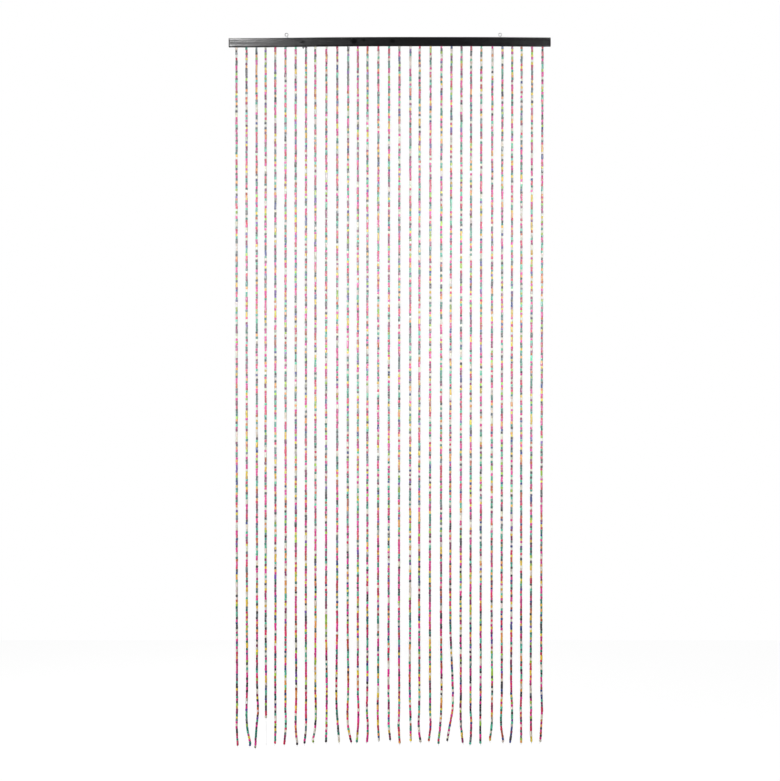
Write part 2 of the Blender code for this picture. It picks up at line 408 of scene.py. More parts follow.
class Path:
    """A smooth line through points, read by the distance along it."""

    def __init__(self, points):
        self.points = np.array(points, float)
        steps = np.linalg.norm(np.diff(self.points, axis=0), axis=1)
        self.marks = np.concatenate([[0], np.cumsum(steps)])
        self.length = self.marks[-1]

    def at(self, distance):
        along = [np.interp(distance, self.marks, values) for values in self.points.T]
        return np.stack(along, axis=-1)


def slice_strands(co, ends, z):
    """Centre and width of each strand where a level plane cuts the strands, left to right."""
    above = co[ends, 2] > z
    crossing = ends[above[:, 0] != above[:, 1]]
    start, end = co[crossing[:, 0]], co[crossing[:, 1]]
    t = (z - start[:, 2]) / (end[:, 2] - start[:, 2])
    points = start[:, :2] + t[:, None] * (end[:, :2] - start[:, :2])
    points = points[np.argsort(points[:, 0])]
    gaps = np.nonzero(np.diff(points[:, 0]) > STRANDS_APART)[0] + 1
    groups = np.split(points, gaps)
    return [((group.min(0) + group.max(0)) / 2, np.ptp(group[:, 0])) for group in groups if len(group)]


def read_strands(bow):
    """Each strand's line from the bar's underside to its foot, and the part of it that carries beads."""
    mesh = frame["nodes"][STRANDS].data
    co = points_of(mesh)
    ends = np.array([edge.vertices[:] for edge in mesh.edges])
    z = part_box(BAR)[0].z - FIRST_SLICE_BELOW_BAR
    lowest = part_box(STRANDS)[0].z
    strands = []
    for centre, width in slice_strands(co, ends, z):
        top = float(bow.underside(centre[0]))
        strands.append({"points": [(*centre, top), (*centre, z)], "widths": [width, width]})
    while z - SLICE_SPACING > lowest:
        z -= SLICE_SPACING
        for centre, width in slice_strands(co, ends, z):
            nearest = min(strands, key=lambda strand: abs(strand["points"][-1][0] - centre[0]))
            if abs(nearest["points"][-1][0] - centre[0]) < DRIFT_PER_SLICE:
                nearest["points"].append((*centre, z))
                nearest["widths"].append(width)
    read = []
    for strand in strands:
        last = np.array(strand["points"][-1])
        below = co[(np.abs(co[:, 0] - last[0]) < DRIFT_PER_SLICE) & (co[:, 2] < last[2])]
        foot = below[below[:, 2] < below[:, 2].min() + FOOT_FACE_HEIGHT].mean(0)
        points = strand["points"] + [tuple(foot)]
        wide = [width > BARE_BELOW_WIDTH for width in strand["widths"]]
        beaded = points if all(wide) else points[: wide.index(False)]
        read.append((Path(points), Path(beaded)))
    return read


def ring_centre(eye):
    opening = next(o for o in frame["record"]["physics"]["openings"] if o["name"] == OPENINGS[eye])
    low, high = opening["box_m"]
    return (Vector(low) + Vector(high)) / 2


def eye_lean(eye):
    """How far an eye leans: the angle from upright of the line between its tip and its ring's centre."""
    tip = min((vertex.co for vertex in frame["nodes"][eye].data.vertices), key=lambda co: co.z)
    line = ring_centre(eye) - tip
    return atan2(line.x, line.z), line.length


# Mesh making


class Assembly:
    """Faces of many small shapes, gathered into one mesh with what its surface needs."""

    def __init__(self):
        self.points, self.faces, self.maps, self.slots = [], [], [], []
        self.surface = {"fibre": [], "dye": [], "cut": []}
        self.count = 0

    def add(self, points, skins, slot=0, fibre=None, dye=None, cut=None):
        """Adds points (n, 3), and skins: faces (m, k) that count from 0, with their maps (m, k, 2).

        fibre, dye and cut have one value a point.
        """
        total = len(points)
        self.points.append(points)
        for faces, maps in skins:
            self.faces += (faces + self.count).tolist()
            self.maps.append(maps.reshape(-1, 2))
            self.slots.append(np.full(len(faces), slot))
        self.surface["fibre"].append(np.zeros((total, 3)) if fibre is None else fibre)
        self.surface["dye"].append(np.zeros((total, 3)) if dye is None else dye)
        self.surface["cut"].append(np.zeros(total) if cut is None else cut)
        self.count += total

    def to_object(self, name, materials, sharp_angle):
        mesh = bpy.data.meshes.new(name)
        mesh.from_pydata(np.concatenate(self.points).tolist(), [], self.faces)
        for material in materials:
            mesh.materials.append(material)
        mesh.polygons.foreach_set("material_index", np.concatenate(self.slots).astype(np.int32))
        mesh.uv_layers.new(name="OFBake").uv.foreach_set("vector", np.concatenate(self.maps).ravel())
        for key, values in self.surface.items():
            point_attribute(mesh, key, np.concatenate(values))
        mesh.shade_smooth()
        mesh.set_sharp_from_angle(angle=sharp_angle)
        mesh.update()
        return link(name, mesh)


def point_attribute(mesh, name, values):
    kind, field = ("FLOAT_VECTOR", "vector") if values.ndim == 2 else ("FLOAT", "value")
    mesh.attributes.new(name, kind, "POINT").data.foreach_set(field, values.ravel())


def link(name, data):
    made = bpy.data.objects.new(name, data)
    bpy.context.scene.collection.objects.link(made)
    return made


def seat(piece, slot, *nodes):
    """Seats a finished piece on its body and hides the nodes that it stands for. slot is not used."""
    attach(piece, BODY)
    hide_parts(*nodes)


def band_quads(rings, sides):
    """Quads that join rings of points one after another."""
    ring = np.arange(rings - 1)[:, None]
    side = np.arange(sides)[None, :]
    after, beside = ring + 1, (side + 1) % sides
    corners = [ring * sides + side, ring * sides + beside, after * sides + beside, after * sides + side]
    return np.stack(corners, axis=-1).reshape(-1, 4)


def band_maps(marks, sides):
    """Bake map of those quads: round the shape across, and marks, one more than the bands, upwards."""
    marks = np.array(marks, float)
    marks = (marks - marks[0]) / (marks[-1] - marks[0])
    side = np.arange(sides) / sides
    low, left = np.meshgrid(marks[:-1], side, indexing="ij")
    high = np.broadcast_to(marks[1:, None], low.shape)
    right = left + 1 / sides
    corners = [(left, low), (right, low), (right, high), (left, high)]
    return np.stack([np.stack(pair, axis=-1) for pair in corners], axis=-2).reshape(-1, 4, 2)


def frames_along(points):
    """A direction across and one beside each point of a line, turning as little as they can."""
    tangents = np.gradient(points, axis=0)
    tangents /= np.linalg.norm(tangents, axis=1)[:, None]
    across = np.zeros_like(tangents)
    seed = np.array((1.0, 0, 0)) if abs(tangents[0][0]) < 0.9 else np.array((0, 1.0, 0))
    for index, tangent in enumerate(tangents):
        seed = seed - tangent * seed.dot(tangent)
        seed /= np.linalg.norm(seed)
        across[index] = seed
    return across, np.cross(tangents, across)


def tube(points, radii, sides):
    """Points and skins of a closed tube. radii: one a point, or one for each of its sides, which are even."""
    points = np.array(points, float)
    radii = np.broadcast_to(np.array(radii, float).reshape(len(points), -1), (len(points), sides))
    across, beside = frames_along(points)
    angle = np.arange(sides) * 2 * pi / sides
    out = across[:, None] * np.cos(angle)[:, None] + beside[:, None] * np.sin(angle)[:, None]
    skin = points[:, None] + out * radii[:, :, None]
    quads = band_quads(len(points), sides)
    caps = []
    for first in range(1, sides - 2, 2):
        caps.append((0, first + 2, first + 1, first))
        end = (len(points) - 1) * sides
        caps.append((end, end + first, end + first + 1, end + first + 2))
    maps = band_maps(Path(points).marks, sides)
    return skin.reshape(-1, 3), [(quads, maps), (np.array(caps), np.zeros((len(caps), 4, 2)))]


def rounded_outline(depth, height, radius, steps, spacing):
    """Points (y, z) and outward normals of a rounded rectangle round its centre."""
    points, normals = [], []
    for turn, (side, lift) in enumerate(((1, 1), (-1, 1), (-1, -1), (1, -1))):
        centre = np.array((side * (depth / 2 - radius), lift * (height / 2 - radius)))
        for step in range(steps + 1):
            angle = (turn + step / steps) * pi / 2
            normal = np.array((cos(angle), sin(angle)))
            points.append(centre + normal * radius)
            normals.append(normal)
        run = (height if turn % 2 else depth) - 2 * radius
        along = np.array((-sin(angle), cos(angle)))
        inset = min(radius, run) / 4
        parts = int(np.ceil((run - 2 * inset) / spacing))
        for place in np.linspace(inset, run - inset, parts + 1):
            points.append(centre + normal * radius + along * place)
            normals.append(normal)
    return np.array(points), np.array(normals)


def bowed_loft(name, outline, normals, half_length, spacing, middle, end_rounding, end_steps):
    """A bar of this section, its ends rounded, whose centre is as high as middle(x) says. An object."""
    turn = np.linspace(0, pi / 2, end_steps + 1)
    insets = end_rounding * (1 - np.sin(turn))
    starts = half_length - end_rounding * (1 - np.cos(turn))
    count = int(2 * (half_length - end_rounding) / spacing)
    inner = np.linspace(-starts[-1], starts[-1], count + 1)[1:-1]
    x = np.concatenate([-starts, inner, starts[::-1]])
    inset = np.concatenate([insets, np.zeros(len(inner)), insets[::-1]])
    shape = outline[None] - normals[None] * inset[:, None, None]
    points = np.empty((len(x), len(outline), 3))
    points[:, :, 0] = x[:, None]
    points[:, :, 1] = shape[:, :, 0]
    points[:, :, 2] = shape[:, :, 1] + middle(x)[:, None]
    sides = len(outline)
    faces = band_quads(len(x), sides).tolist()
    last = (len(x) - 1) * sides
    faces.append(list(range(sides))[::-1])
    faces.append([last + side for side in range(sides)])
    mesh = bpy.data.meshes.new(name)
    mesh.from_pydata(points.reshape(-1, 3).tolist(), [], faces)
    mesh.update()
    return link(name, mesh)


def cones(name, places, direction, radii, depth, sides):
    """One mesh of cones or cylinders with their first end at each place, for cutting."""
    bm = bmesh.new()
    for place in places:
        turn = Vector((0, 0, 1)).rotation_difference(direction).to_matrix().to_4x4()
        matrix = Matrix.Translation(Vector(place)) @ turn @ Matrix.Translation((0, 0, depth / 2))
        ends = {"radius1": radii[0], "radius2": radii[1]}
        bmesh.ops.create_cone(bm, cap_ends=True, segments=sides, depth=depth, matrix=matrix, **ends)
    mesh = bpy.data.meshes.new(name)
    bm.to_mesh(mesh)
    bm.free()
    return link(name, mesh)


def cut_out(target, *cutters):
    """Cuts the shapes out of the target for good, and removes them."""
    for cutter in cutters:
        modifier = target.modifiers.new(cutter.name, "BOOLEAN")
        modifier.operation = "DIFFERENCE"
        modifier.object = cutter
    graph = bpy.context.evaluated_depsgraph_get()
    mesh = bpy.data.meshes.new_from_object(target.evaluated_get(graph))
    target.modifiers.clear()
    target.data = mesh
    for cutter in cutters:
        bpy.data.objects.remove(cutter)


# Materials


def cover(piece, material):
    """Gives a piece that has been cut its one material, and smooth faces between its edges."""
    piece.data.materials.clear()
    piece.data.materials.append(material)
    piece.data.shade_smooth()
    piece.data.set_sharp_from_angle(angle=BAR_CREASE)


def linear(gamma_colour):
    return (*Color(gamma_colour).from_srgb_to_scene_linear(), 1)


class Nodes:
    """Short calls for building a node tree."""

    def __init__(self, tree):
        self.tree = tree

    def add(self, kind, inputs=None, **settings):
        made = self.tree.nodes.new(kind)
        for key, value in settings.items():
            setattr(made, key, value)
        for key, value in (inputs or {}).items():
            self.feed(made.inputs[key], value)
        return made

    def feed(self, socket, value):
        if isinstance(value, bpy.types.NodeSocket):
            self.tree.links.new(value, socket)
        else:
            socket.default_value = value

    def maths(self, operation, *values):
        return self.add("ShaderNodeMath", dict(enumerate(values)), operation=operation).outputs[0]

    def vector(self, operation, *values):
        return self.add("ShaderNodeVectorMath", dict(enumerate(values)), operation=operation).outputs[0]

    def spread(self, value, low, high, to_low=0.0, to_high=1.0):
        inputs = {"Value": value, "From Min": low, "From Max": high, "To Min": to_low, "To Max": to_high}
        return self.add("ShaderNodeMapRange", inputs).outputs[0]

    def clamp(self, value):
        return self.add("ShaderNodeClamp", {"Value": value}).outputs[0]

    def clouds(self, place, scale, detail, roughness=0.5):
        inputs = {"Vector": place, "Scale": scale, "Detail": detail, "Roughness": roughness}
        return self.add("ShaderNodeTexNoise", inputs).outputs["Fac"]

    def blend(self, amount, first, second):
        made = self.add("ShaderNodeMix", data_type="RGBA")
        sockets = {socket.identifier: socket for socket in made.inputs}
        self.feed(sockets["Factor_Float"], amount)
        self.feed(sockets["A_Color"], first)
        self.feed(sockets["B_Color"], second)
        return next(socket for socket in made.outputs if socket.identifier == "Result_Color")

    def millimetres(self):
        """Where a point of the surface lies, in millimetres."""
        position = self.add("ShaderNodeNewGeometry").outputs["Position"]
        return self.add("ShaderNodeVectorMath", {0: position, "Scale": 1 / MM}, operation="SCALE").outputs[0]

    def attribute(self, name, output):
        return self.add("ShaderNodeAttribute", attribute_name=name).outputs[output]

    def group(self, name, **inputs):
        made = self.add("ShaderNodeGroup", node_tree=bpy.data.node_groups[name])
        for key, value in inputs.items():
            self.feed(made.inputs[key.replace("_", " ").capitalize()], value)
        return made.outputs


def new_group(name, inputs, outputs):
    """An empty shader node group. inputs: name to (socket kind, default)."""
    tree = bpy.data.node_groups.new(name, "ShaderNodeTree")
    for key, (kind, default) in inputs.items():
        socket = tree.interface.new_socket(name=key, in_out="INPUT", socket_type=f"NodeSocket{kind}")
        if default is not None:
            socket.default_value = default
    for key in outputs:
        tree.interface.new_socket(name=key, in_out="OUTPUT", socket_type="NodeSocketFloat")
    nodes = Nodes(tree)
    return nodes, nodes.add("NodeGroupInput").outputs, nodes.add("NodeGroupOutput").inputs


def make_fibre_group():
    """Streaks, broad bands and relief that run along a piece's fibre, the third axis of Place."""
    inputs = {"Place": ("Vector", None), "Fineness": ("Float", 1.0), "Stretch": ("Float", 20.0)}
    nodes, given, out = new_group("Lengthwise fibre", inputs, ("Streaks", "Bands", "Relief"))
    across = given["Fineness"]
    along = nodes.maths("DIVIDE", across, given["Stretch"])
    scale = nodes.add("ShaderNodeCombineXYZ", {0: across, 1: across, 2: along}).outputs[0]
    place = nodes.vector("MULTIPLY", given["Place"], scale)
    broad = nodes.clouds(place, 0.27, 2.0)
    streaks = nodes.spread(nodes.clouds(place, 1.0, 3.0, 0.65), 0.36, 0.66)
    nodes.feed(out["Streaks"], streaks)
    nodes.feed(out["Bands"], nodes.spread(broad, 0.38, 0.62))
    lifted = nodes.maths("MULTIPLY", broad, 0.6)
    nodes.feed(out["Relief"], nodes.maths("MULTIPLY_ADD", streaks, 0.5, lifted))


def make_mottle_group():
    """Soft uneven patches about Size across."""
    inputs = {"Place": ("Vector", None), "Size": ("Float", 10.0), "Contrast": ("Float", 0.5)}
    nodes, given, out = new_group("Mottle", inputs, ("Patches",))
    scale = nodes.maths("DIVIDE", 1.0, given["Size"])
    centred = nodes.maths("SUBTRACT", nodes.clouds(given["Place"], scale, 4.0), 0.5)
    gain = nodes.maths("MULTIPLY_ADD", given["Contrast"], 6.0, 1.0)
    lifted = nodes.maths("MULTIPLY_ADD", centred, gain, 0.5)
    nodes.feed(out["Patches"], nodes.clamp(lifted))


def make_wear_group():
    """Where an edge is rubbed through: more of it where Edge is high, in broken patches."""
    inputs = {"Place": ("Vector", None), "Edge": ("Float", 0.0), "Amount": ("Float", 0.5)}
    nodes, given, out = new_group("Worn edge", inputs, ("Wear",))
    rubbed = nodes.maths("MULTIPLY", given["Edge"], nodes.clouds(given["Place"], 0.45, 5.0))
    spared = nodes.maths("MULTIPLY_ADD", given["Amount"], -0.5, 0.75)
    over = nodes.maths("SUBTRACT", rubbed, spared)
    nodes.feed(out["Wear"], nodes.clamp(nodes.maths("MULTIPLY", over, 9.0)))


def new_material(name):
    """A material, its node helper and its Principled BSDF."""
    material = bpy.data.materials.new(name)
    material.use_nodes = True
    return material, Nodes(material.node_tree), material.node_tree.nodes["Principled BSDF"]


def finish_surface(nodes, shader, base, roughness, height, depth):
    """Feeds the shader. depth: what a full step of height measures, in metres."""
    nodes.feed(shader.inputs["Base Color"], base)
    nodes.feed(shader.inputs["Roughness"], roughness)
    bump = nodes.add("ShaderNodeBump", {"Strength": 1.0, "Distance": depth, "Height": height})
    nodes.feed(shader.inputs["Normal"], bump.outputs[0])


def bamboo_material(dyes):
    """Dyed cane: fibre streaks, uneven dye, and paler rubbed ends where the cut fibres show as dots."""
    material, nodes, shader = new_material("dyed_bamboo")
    fibre, dye = nodes.attribute("fibre", "Vector"), nodes.attribute("dye", "Vector")
    cut_end = nodes.attribute("cut", "Fac")
    grain = nodes.group("Lengthwise fibre", place=fibre, fineness=1.9, stretch=26.0)
    soaked = nodes.group("Mottle", place=fibre, size=5.0, contrast=0.35)["Patches"]
    rubbed = nodes.group("Worn edge", place=fibre, edge=cut_end, amount=0.85)["Wear"]
    darker = nodes.vector("MULTIPLY", dye, (0.60, 0.58, 0.58))
    base = nodes.blend(nodes.maths("MULTIPLY", grain["Streaks"], 0.42), dye, darker)
    thin_dye = nodes.vector("MULTIPLY", dye, (1.45, 1.42, 1.38))
    paler = nodes.blend(nodes.maths("MULTIPLY", soaked, 0.5), base, thin_dye)
    bared = nodes.blend(nodes.maths("MULTIPLY", rubbed, 0.55), paler, linear(dyes.cut_cane))
    roughness = nodes.spread(nodes.maths("ADD", grain["Streaks"], soaked), 0, 2, 0.38, 0.56)
    finish_surface(nodes, shader, bared, roughness, grain["Relief"], 0.09 * MM)
    shader.inputs["Specular IOR Level"].default_value = 0.4
    return material


def nylon_material(fittings):
    """Clear nylon: almost colourless, a little cloudy in places."""
    material, nodes, shader = new_material("nylon_thread")
    cloudy = nodes.group("Mottle", place=nodes.millimetres(), size=6.0, contrast=0.4)["Patches"]
    base = nodes.blend(nodes.maths("MULTIPLY", cloudy, 0.3), linear(fittings.nylon), (1, 1, 1, 1))
    nodes.feed(shader.inputs["Base Color"], base)
    nodes.feed(shader.inputs["Roughness"], nodes.spread(cloudy, 0, 1, 0.2, 0.34))
    shader.inputs["Transmission Weight"].default_value = 0.35
    return material


def lacquer_material(bar):
    """Satin black lacquer over open grain: smoother and darker on knots, rubbed brown at the edges."""
    material, nodes, shader = new_material("black_lacquer")
    fibre = nodes.attribute("fibre", "Vector")
    edge, knot = nodes.attribute("edge", "Fac"), nodes.attribute("knot", "Fac")
    grain = nodes.group("Lengthwise fibre", place=fibre, fineness=0.85, stretch=45.0)
    haze = nodes.group("Mottle", place=fibre, size=16.0, contrast=0.3)["Patches"]
    rubbed = nodes.group("Worn edge", place=fibre, edge=edge, amount=0.42)["Wear"]
    fine_figure = nodes.maths("MULTIPLY", grain["Streaks"], 0.3)
    figure = nodes.maths("MULTIPLY_ADD", grain["Bands"], 0.7, fine_figure)
    grained = nodes.blend(figure, linear(bar.lacquer), linear(bar.grain))
    resin = (0.003, 0.003, 0.003, 1)
    knotted = nodes.blend(nodes.maths("MULTIPLY", knot, 0.9), grained, resin)
    base = nodes.blend(nodes.maths("MULTIPLY", rubbed, 0.7), knotted, linear(bar.bare_wood))
    dull = nodes.maths("MULTIPLY_ADD", rubbed, 0.25, nodes.maths("MULTIPLY", haze, 0.02))
    satin = nodes.maths("ADD", dull, nodes.spread(figure, 0.15, 0.85, 0.21, 0.14))
    roughness = nodes.maths("MULTIPLY", satin, nodes.spread(knot, 0, 0.7, 1, 0.4))
    level = nodes.maths("MULTIPLY_ADD", knot, -0.1, grain["Relief"])
    finish_surface(nodes, shader, base, roughness, level, 0.02 * MM)
    return material


def zinc_material(fittings):
    """Zinc plate: bright where the wire was drawn and bent, duller in blotches."""
    material, nodes, shader = new_material("zinc_wire")
    fibre = nodes.attribute("fibre", "Vector")
    drawn = nodes.group("Lengthwise fibre", place=fibre, fineness=4.0, stretch=14.0)
    dull = nodes.group("Mottle", place=fibre, size=2.2, contrast=0.6)["Patches"]
    base = nodes.blend(dull, linear(fittings.zinc), linear(fittings.dull_zinc))
    roughness = nodes.spread(nodes.maths("ADD", dull, drawn["Streaks"]), 0, 2, 0.42, 0.62)
    finish_surface(nodes, shader, base, roughness, drawn["Relief"], 0.02 * MM)
    shader.inputs["Metallic"].default_value = 1
    return material


def cord_material(fittings):
    """The dark cord end that shows under the bar."""
    material, nodes, shader = new_material("dark_cord")
    fibre = nodes.attribute("fibre", "Vector")
    twist = nodes.group("Lengthwise fibre", place=fibre, fineness=3.0, stretch=3.0)
    dark = linear(fittings.loose_end)
    base = nodes.blend(twist["Streaks"], dark, tuple(min(1, 1.8 * value) for value in dark))
    roughness = nodes.spread(twist["Streaks"], 0, 1, 0.6, 0.8)
    finish_surface(nodes, shader, base, roughness, twist["Relief"], 0.1 * MM)
    return material


def paper_material(stage):
    """White paper with light shining through it that only the eye sees: it lights nothing from below."""
    material, nodes, shader = new_material("floor_paper")
    patches = nodes.group("Mottle", place=nodes.millimetres(), size=90.0, contrast=0.1)["Patches"]
    base = nodes.blend(nodes.maths("MULTIPLY", patches, 0.02), linear(stage.paper), (0.2, 0.2, 0.2, 1))
    finish_surface(nodes, shader, base, nodes.spread(patches, 0, 1, 0.8, 0.9), patches, 0.1 * MM)
    shader.inputs["Emission Color"].default_value = (1, 1, 1, 1)
    straight = nodes.add("ShaderNodeLightPath").outputs["Is Camera Ray"]
    nodes.feed(shader.inputs["Emission Strength"], nodes.maths("MULTIPLY", straight, 0.95))
    return material


GROUPS = {
    "Lengthwise fibre": make_fibre_group,
    "Mottle": make_mottle_group,
    "Worn edge": make_wear_group,
}


def make_groups():
    """Builds the shared node groups, once."""
    for name, make in GROUPS.items():
        if name not in bpy.data.node_groups:
            make()


# The bead strings


def plan_beads(room, beads, tops, feet, rng):
    """Kinds, lengths and dyes of one string's beads from the top down, filling this much thread."""
    names = [dye.name for dye in DYES]
    shares = np.array([dye.share for dye in DYES], float)
    shares /= shares.sum()
    kinds, lengths, dyes = [], [], []
    while room > 0:
        tube = rng.random() < beads.tube_share
        noded = tube and rng.random() < beads.noded_share
        usual = beads.tube_length if tube else beads.short_length
        length = usual * (1 + beads.length_spread * rng.uniform(-1, 1))
        again = dyes and rng.random() < beads.run_share
        dye = dyes[-1] if again else names[rng.choice(len(names), p=shares)]
        kinds.append("noded" if noded else "tube" if tube else "short")
        lengths.append(length)
        dyes.append(dye)
        room -= length + beads.gap
    known = list(enumerate(tops)) + [(-1 - place, dye) for place, dye in enumerate(feet)]
    for place, dye in known:
        dyes[place] = dye
        kinds[place] = "short"
        lengths[place] = beads.short_length
    return np.array(kinds), np.array(lengths), np.array(dyes)


def dye_colours(names, dyes, rng):
    """Linear colour of each bead, every one a little lighter, darker or more faded than its dye."""
    base = np.array([linear(getattr(dyes, name))[:3] for name in names])
    depth = rng.normal(1, DEPTH_SPREAD, (len(names), 1))
    faded = np.abs(rng.normal(0, FADE_SPREAD, (len(names), 1)))
    hue = rng.normal(1, HUE_SPREAD, (len(names), 3))
    mixed = base * depth * hue
    return np.clip(mixed * (1 - faded) + faded * FADED_GREY, DARKEST_DYE, PALEST_DYE)


def bead_profile(kind, lengths, radii, beads):
    """Radius, height and cut of the rings of these beads from the lower rim up, one row a bead."""
    middle = MIDDLE_RINGS[kind]
    rim = radii - beads.rounding
    low, high = -lengths / 2, lengths / 2
    rings = [rim, radii] + [radii * ring.wide for ring in middle] + [radii, rim]
    between = [np.full(len(lengths), ring.place * MM) for ring in middle]
    heights = [low, low + beads.rounding] + between + [high - beads.rounding, high]
    cut = [RIM_CUT, SHOULDER_CUT] + [0] * len(middle) + [SHOULDER_CUT, RIM_CUT]
    return np.stack(rings, 1), np.stack(heights, 1), cut


def mouth_fans(rings, sides):
    """Triangles from each end ring of a bead to the middle of that end. The two middles come last."""
    side = np.arange(sides)
    beside = (side + 1) % sides
    low, high = np.full(sides, rings * sides), np.full(sides, rings * sides + 1)
    top = (rings - 1) * sides
    under, over = [beside, side, low], [top + side, top + beside, high]
    return np.concatenate([np.stack(under, 1), np.stack(over, 1)])


def fan_maps(low, high, sides):
    """Bake map of those triangles: two strips that lie under and over the bead's bands."""
    left = np.arange(sides) / sides
    middle, right = left + 0.5 / sides, left + 1 / sides
    zero, one = np.zeros(sides), np.ones(sides)
    under = [np.stack(pair, 1) for pair in ((right, zero + low), (left, zero + low), (middle, zero))]
    over = [np.stack(pair, 1) for pair in ((left, one * high), (right, one * high), (middle, one))]
    return np.concatenate([np.stack(under, 1), np.stack(over, 1)])


def unit(vectors):
    return vectors / np.linalg.norm(vectors, axis=1)[:, None]


def bead_axes(path, starts, lengths, beads, rng):
    """The middle of each bead, and its directions across, beside and along the thread."""
    count = len(starts)
    upper, lower = path.at(starts), path.at(starts + lengths)
    axis = unit(upper - lower)
    axis = unit(axis + rng.normal(0, beads.tilt, (count, 3)))
    across = unit(np.cross((0, 1, 0), axis))
    beside = np.cross(axis, across)
    centre = (upper + lower) / 2 + across * rng.uniform(-1, 1, (count, 1)) * beads.play
    centre += beside * rng.uniform(-1, 1, (count, 1)) * beads.play
    return centre, np.stack([across, beside, axis], axis=1)


def bead_shapes(rings, heights, lengths, beads, rng):
    """Points of each bead round its middle: its rings, a little oval, then the mouths of its hole."""
    count, total = rings.shape
    angle = np.arange(beads.sides) * 2 * pi / beads.sides + rng.uniform(0, 2 * pi, (count, 1))
    oval = 1 + rng.uniform(0, OVALNESS, (count, 1)) * np.cos(2 * (angle - rng.uniform(0, pi, (count, 1))))
    radius = rings[:, :, None] * oval[:, None, :]
    x, y = radius * np.cos(angle)[:, None], radius * np.sin(angle)[:, None]
    slants = rng.normal(0, beads.slant, (count, 2))
    slope = np.zeros((count, total, 1))
    slope[:, :END_RINGS, 0] = slants[:, :1]
    slope[:, -END_RINGS:, 0] = slants[:, 1:]
    skin = np.stack([x, y, heights[:, :, None] + slope * x], axis=-1)
    mouths = np.zeros((count, 2, 3))
    mouths[:, 0, 2], mouths[:, 1, 2] = beads.mouth - lengths / 2, lengths / 2 - beads.mouth
    return np.concatenate([skin.reshape(count, -1, 3), mouths], axis=1)


def bead_skins(rings, heights, cells, sides):
    """Faces and bake maps of all beads of one kind. cells: the low corners and the width of their cells."""
    count, total = rings.shape
    first = (np.arange(count) * (total * sides + 2))[:, None, None]
    quads, fans = band_quads(total, sides) + first, mouth_fans(total, sides) + first
    marks = np.hypot(np.diff(rings[0]), np.diff(heights[0]))
    bands = band_maps(np.concatenate([[0], np.cumsum(marks)]), sides)
    bands[..., 1] = MOUTH_STRIP + bands[..., 1] * (1 - 2 * MOUTH_STRIP)
    strips = fan_maps(MOUTH_STRIP, 1 - MOUTH_STRIP, sides)
    corner, width = cells[0][:, None, None], cells[1]
    return [(quads.reshape(-1, 4), corner + bands * width), (fans.reshape(-1, 3), corner + strips * width)]


def add_beads(assembly, path, starts, lengths, kind, colours, cells, beads, rng):
    """Adds all beads of one kind to a string."""
    count = len(starts)
    radii = beads.width / 2 * (1 + beads.width_spread * rng.uniform(-1, 1, count))
    rings, heights, cut = bead_profile(kind, lengths, radii, beads)
    centre, axes = bead_axes(path, starts, lengths, beads, rng)
    local = bead_shapes(rings, heights, lengths, beads, rng)
    points = centre[:, None] + local @ axes
    cuts = np.concatenate([np.repeat(cut, beads.sides), [MOUTH_CUT, MOUTH_CUT]])
    grain = local / MM + rng.uniform(0, FIBRE_SHIFT, (count, 1, 3))
    assembly.add(
        points.reshape(-1, 3),
        bead_skins(rings, heights, cells, beads.sides),
        BAMBOO,
        fibre=grain.reshape(-1, 3),
        dye=np.repeat(colours, local.shape[1], axis=0),
        cut=np.tile(cuts, count),
    )


def overhand_knot(centre, width, turn):
    """Points of a small knot round centre, entered from above and left below."""
    t = np.linspace(*KNOT_PART, KNOT_POINTS) * 2 * pi
    across, through, up = np.sin(t) + 2 * np.sin(2 * t), -np.sin(3 * t), np.cos(t) - 2 * np.cos(2 * t)
    loops = np.stack([across, through, up], axis=-1)
    spin = np.array(((cos(turn), -sin(turn), 0), (sin(turn), cos(turn), 0), (0, 0, 1)))
    return centre + loops @ spin.T * width / KNOT_UNITS_WIDE


def thread_tail(start, direction, length, rng):
    """Points of the short end of thread that is left under a knot."""
    reach = np.linspace(0, 1, TAIL_POINTS + 1)[1:, None]
    curl = np.array((rng.uniform(-1, 1), rng.uniform(-1, 1), 0)) * length * TAIL_CURL
    return start + direction * length * reach + curl * reach**2


def add_thread(assembly, path, bead_end, fittings, rng):
    """Adds the nylon thread: from the strip through every bead, a knot under the last one, and a tail."""
    inside = path.at(0) + np.array((0, 0, THREAD_HOLE_DEPTH - STRIP_BELOW_BAR))
    stretch = path.length if bead_end < path.length - SHORTEST_BARE_THREAD else bead_end
    through = path.at(np.linspace(0, stretch, int(stretch / THREAD_SPACING) + 2))
    down = through[-1] - through[-2]
    down /= np.linalg.norm(down)
    centre = through[-1] + down * fittings.knot_width * 0.5
    knot = overhand_knot(centre, fittings.knot_width, rng.uniform(0, 2 * pi))
    tail = thread_tail(knot[-1], down, rng.uniform(*TAIL_MILLIMETRES) * MM, rng)
    line = np.concatenate([[inside], through, knot, tail])
    skin, skins = tube(line, np.full(len(line), fittings.thread_width / 2), THREAD_SIDES)
    beside_beads = np.array((1 - THREAD_COLUMN, 0))
    skins = [(faces, maps * (THREAD_COLUMN, 1) + beside_beads) for faces, maps in skins]
    assembly.add(skin, skins, NYLON)


def bake_cells(count):
    """Low corners and size of a square cell for each bead, beside the column that the thread has."""
    columns = int(np.ceil(np.sqrt(count)))
    width = (1 - THREAD_COLUMN) / columns
    index = np.arange(count)
    corners = np.stack([index % columns, index // columns], axis=-1) * width
    return corners + width * CELL_MARGIN, width * (1 - 2 * CELL_MARGIN)


